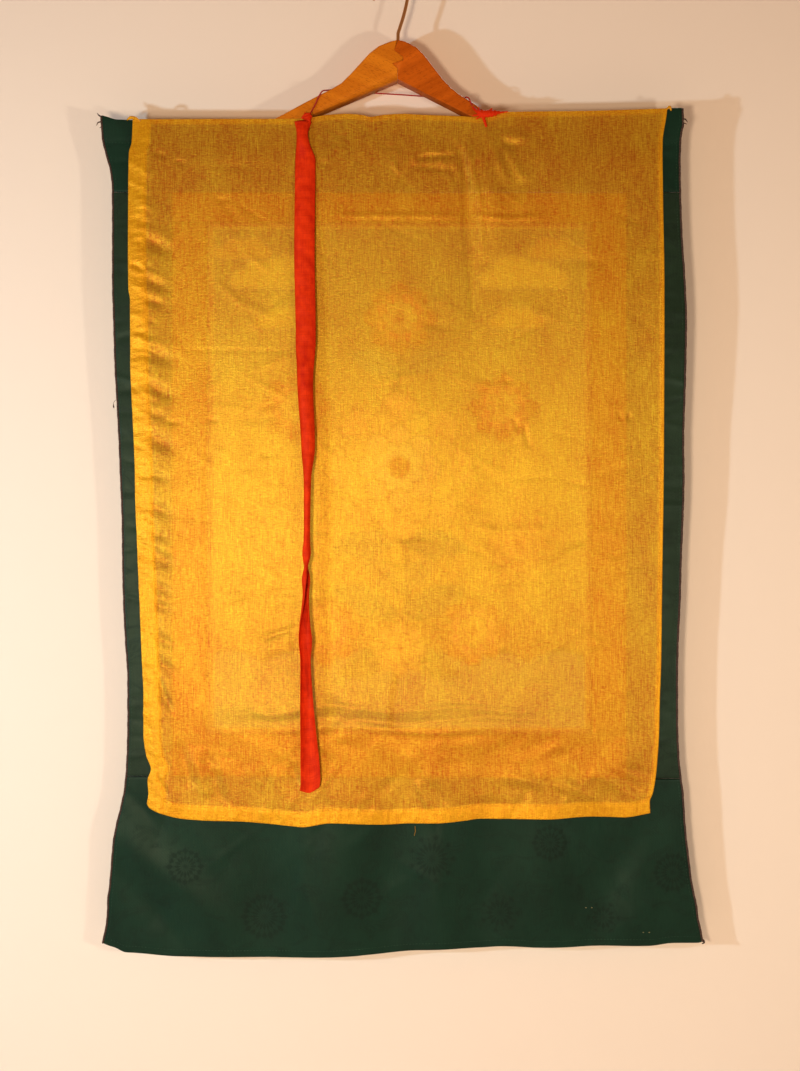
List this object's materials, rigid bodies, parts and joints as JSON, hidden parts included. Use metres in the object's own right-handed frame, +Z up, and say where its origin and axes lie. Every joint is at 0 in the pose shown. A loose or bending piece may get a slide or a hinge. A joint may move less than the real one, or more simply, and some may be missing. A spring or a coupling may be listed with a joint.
{
  "type": "thangka scroll painting on wooden coat hanger",
  "caption": "Painted cloth picture in a green damask mount under a sheer golden veil, with a long red ribbon, hung by a cord from a wooden coat hanger.",
  "frame": {"origin": "inside of the hanger hook's crown, where the rod or nail that holds the hanger bears", "axes": "+Z up, +X to the viewer's right, and the painted face with its veil looks along -Y"},
  "size_m": [0.6044, 0.042, 0.9935],
  "materials": {
    "beech": "honey varnish",
    "beech_dark": "honey varnish, darker board",
    "steel_wire": "plated wire, slightly dull",
    "green_damask": "damask with a satin figure",
    "orange_silk": "plain silk",
    "painted_canvas": "matt distemper paint on cotton",
    "gold_veil": "sheer silk with a soft sheen",
    "dark_cord": "sewn cord, dull",
    "red_silk": "silk ribbon with a soft sheen",
    "red_cord": "twisted silk cord"
  },
  "bodies": {
    "root": {"hanger_arm_left": "beech", "hanger_arm_right": "beech_dark", "hanger_hook": "steel_wire", "mount_top": "green_damask", "mount_left": "green_damask", "mount_right": "green_damask", "mount_bottom": "green_damask", "border_top": "orange_silk", "border_bottom": "orange_silk", "border_left": "orange_silk", "border_right": "orange_silk", "picture": "painted_canvas", "veil": "gold_veil", "edge_cord_left": "dark_cord", "edge_cord_right": "dark_cord", "ribbon_left": "red_silk", "knot_left": "red_silk", "tie_right": "red_silk", "hanging_cord": "red_cord"}
  },
  "joints": []
}
